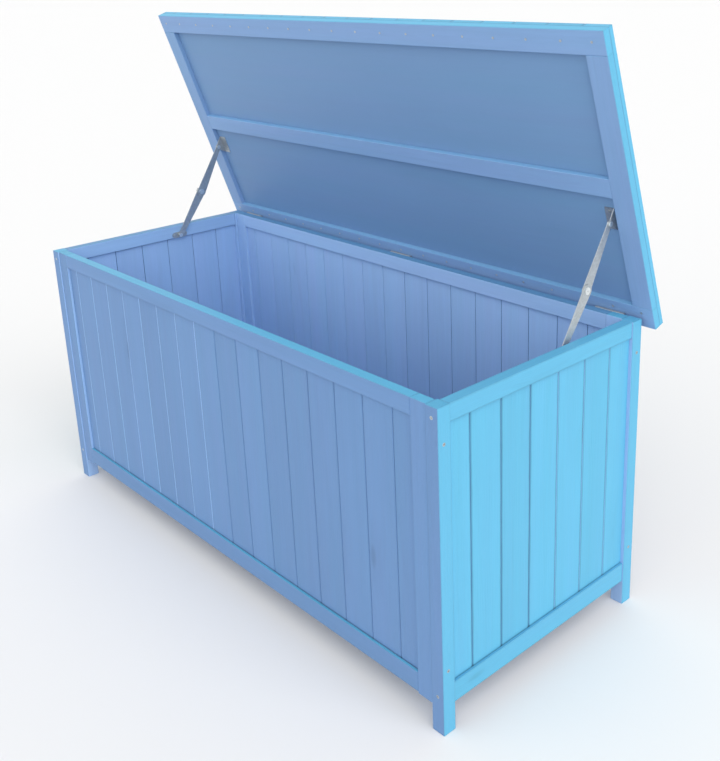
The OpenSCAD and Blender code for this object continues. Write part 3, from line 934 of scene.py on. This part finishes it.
class DECKBOX_OT_lid_sheet(DeckboxOperator):
    """Make the sheet inside the lid"""

    bl_idname = "deckbox.lid_sheet"
    bl_label = "Lid sheet"

    def execute(self, context):
        stain = self.wood.liner_stain
        sheet = wood_material(
            "lid_sheet_wood", stain, stain, self.wood, BOARD_EDGE_TONE, grain_share=SHEET_GRAIN
        )
        make_planks(("lid_liner",), self.wood.board_ease, sheet)
        return {"FINISHED"}


class DECKBOX_OT_hinges(DeckboxOperator):
    """Finish the hinges"""

    bl_idname = "deckbox.hinges"
    bl_label = "Hinges"

    def execute(self, context):
        finish_steel(HINGES, self.zinc("hinge_zinc"))
        return {"FINISHED"}


class DECKBOX_OT_stays(DeckboxOperator):
    """Finish the folding stays"""

    bl_idname = "deckbox.stays"
    bl_label = "Stays"

    def execute(self, context):
        steel = context.scene.deckbox_steel
        bright = steel_material("rivet_zinc", steel.rivet_zinc, steel.rivet_roughness)
        finish_steel(STAYS, self.zinc("stay_zinc"))
        finish_steel(RIVETS, bright)
        return {"FINISHED"}


class DECKBOX_OT_fasteners(DeckboxOperator):
    """Finish the screws and nails"""

    bl_idname = "deckbox.fasteners"
    bl_label = "Screws and nails"

    def execute(self, context):
        finish_steel(FASTENERS, self.zinc("fastener_zinc"))
        return {"FINISHED"}


class DECKBOX_OT_stage(Operator):
    """Set the floor, the light and the camera"""

    bl_idname = "deckbox.stage"
    bl_label = "Stage"
    bl_options = {"REGISTER", "UNDO"}

    def execute(self, context):
        stage = context.scene.deckbox_stage
        self.lay_floor(stage)
        self.light_sky(context.scene, stage)
        self.hang_light("key_light", stage.key_strength)
        self.hang_light("fill_light", stage.fill_strength)
        self.hang_light("back_light", stage.back_strength)
        self.place_camera(context.scene, stage)
        context.scene.view_settings.view_transform = "Standard"
        return {"FINISHED"}

    def lay_floor(self, stage):
        bm = bmesh.new()
        bmesh.ops.create_circle(bm, cap_ends=True, segments=64, radius=FLOOR_RADIUS)
        mesh = bpy.data.meshes.new("floor")
        bm.to_mesh(mesh)
        bm.free()
        floor = bpy.data.objects.new("floor", mesh)
        bpy.context.scene.collection.objects.link(floor)
        material, g = new_material("pale_floor", stage.floor_colour)
        shader = g.node(
            "ShaderNodeBsdfPrincipled",
            {
                "Base Color": (*stage.floor_colour, 1),
                "Roughness": FLOOR_ROUGHNESS,
                "Specular IOR Level": 0.0,
            },
        )
        g.node("ShaderNodeOutputMaterial", {"Surface": shader.outputs["BSDF"]})
        mesh.materials.append(material)

    def light_sky(self, scene, stage):
        """An even sky that is as bright as the floor along the horizon."""
        world = bpy.data.worlds.new("studio")
        world.use_nodes = True
        scene.world = world
        g = Graph(world.node_tree)
        way = g.node("ShaderNodeTexCoord").outputs["Generated"]
        height = g.node("ShaderNodeSeparateXYZ", {"Vector": way}).outputs["Z"]
        above = g.ramp(height, *HORIZON)
        strength = g.math(
            "MULTIPLY_ADD",
            above,
            stage.sky_strength - stage.horizon_strength,
            stage.horizon_strength,
        )
        sky = g.node("ShaderNodeBackground", {"Color": (1, 1, 1, 1), "Strength": strength})
        g.node("ShaderNodeOutputWorld", {"Surface": sky.outputs["Background"]})

    def hang_light(self, name, strength):
        """A wide soft light from one side, equally strong all over the floor."""
        place = Vector(LIGHT_PLACES[name])
        data = bpy.data.lights.new(name, "SUN")
        data.angle = LIGHT_WIDTH
        data.energy = strength
        light = bpy.data.objects.new(name, data)
        bpy.context.scene.collection.objects.link(light)
        light.location = place
        light.rotation_mode = "QUATERNION"
        light.rotation_quaternion = place.to_track_quat("Z", "Y")

    def place_camera(self, scene, stage):
        data = bpy.data.cameras.new("camera")
        camera = bpy.data.objects.new("camera", data)
        scene.collection.objects.link(camera)
        data.lens = stage.lens
        data.sensor_width = SENSOR_WIDTH
        data.shift_x, data.shift_y = stage.shift
        data.clip_end = FARTHEST
        level = math.cos(stage.elevation)
        back = Vector((
            math.sin(stage.azimuth) * level,
            -math.cos(stage.azimuth) * level,
            math.sin(stage.elevation),
        ))
        camera.location = Vector(stage.look_at) + back * stage.distance
        camera.rotation_mode = "QUATERNION"
        turn = Matrix.Rotation(stage.roll, 3, "Z").to_quaternion()
        camera.rotation_quaternion = (-back).to_track_quat("-Z", "Y") @ turn
        scene.camera = camera


PIECE_OPERATORS = (
    DECKBOX_OT_posts,
    DECKBOX_OT_frames,
    DECKBOX_OT_wall_boards,
    DECKBOX_OT_floor,
    DECKBOX_OT_lid_frame,
    DECKBOX_OT_lid_sheet,
    DECKBOX_OT_lid_boards,
    DECKBOX_OT_hinges,
    DECKBOX_OT_stays,
    DECKBOX_OT_fasteners,
    DECKBOX_OT_stage,
)


class DECKBOX_PT_panel(Panel):
    """The pieces of the box, and their settings"""

    bl_idname = "DECKBOX_PT_panel"
    bl_label = "Deck box"
    bl_space_type = "VIEW_3D"
    bl_region_type = "UI"
    bl_category = "Deck box"

    def draw(self, context):
        layout = self.layout
        for operator in PIECE_OPERATORS:
            layout.operator(operator.bl_idname)
        for settings in (
            context.scene.deckbox_wood,
            context.scene.deckbox_steel,
            context.scene.deckbox_stage,
        ):
            column = layout.box().column()
            for name in settings.__annotations__:
                column.prop(settings, name)


CLASSES = (
    DECKBOX_PG_wood,
    DECKBOX_PG_steel,
    DECKBOX_PG_stage,
    *PIECE_OPERATORS,
    DECKBOX_PT_panel,
)


def register():
    for cls in CLASSES:
        bpy.utils.register_class(cls)
    bpy.types.Scene.deckbox_wood = PointerProperty(type=DECKBOX_PG_wood)
    bpy.types.Scene.deckbox_steel = PointerProperty(type=DECKBOX_PG_steel)
    bpy.types.Scene.deckbox_stage = PointerProperty(type=DECKBOX_PG_stage)


def unregister():
    for name in ("deckbox_wood", "deckbox_steel", "deckbox_stage"):
        delattr(bpy.types.Scene, name)
    for cls in reversed(CLASSES):
        bpy.utils.unregister_class(cls)


def main():
    register()
    for operator in PIECE_OPERATORS:
        group, name = operator.bl_idname.split(".")
        getattr(getattr(bpy.ops, group), name)()
    bpy.context.view_layer.update()


if __name__ == "__main__":
    main()
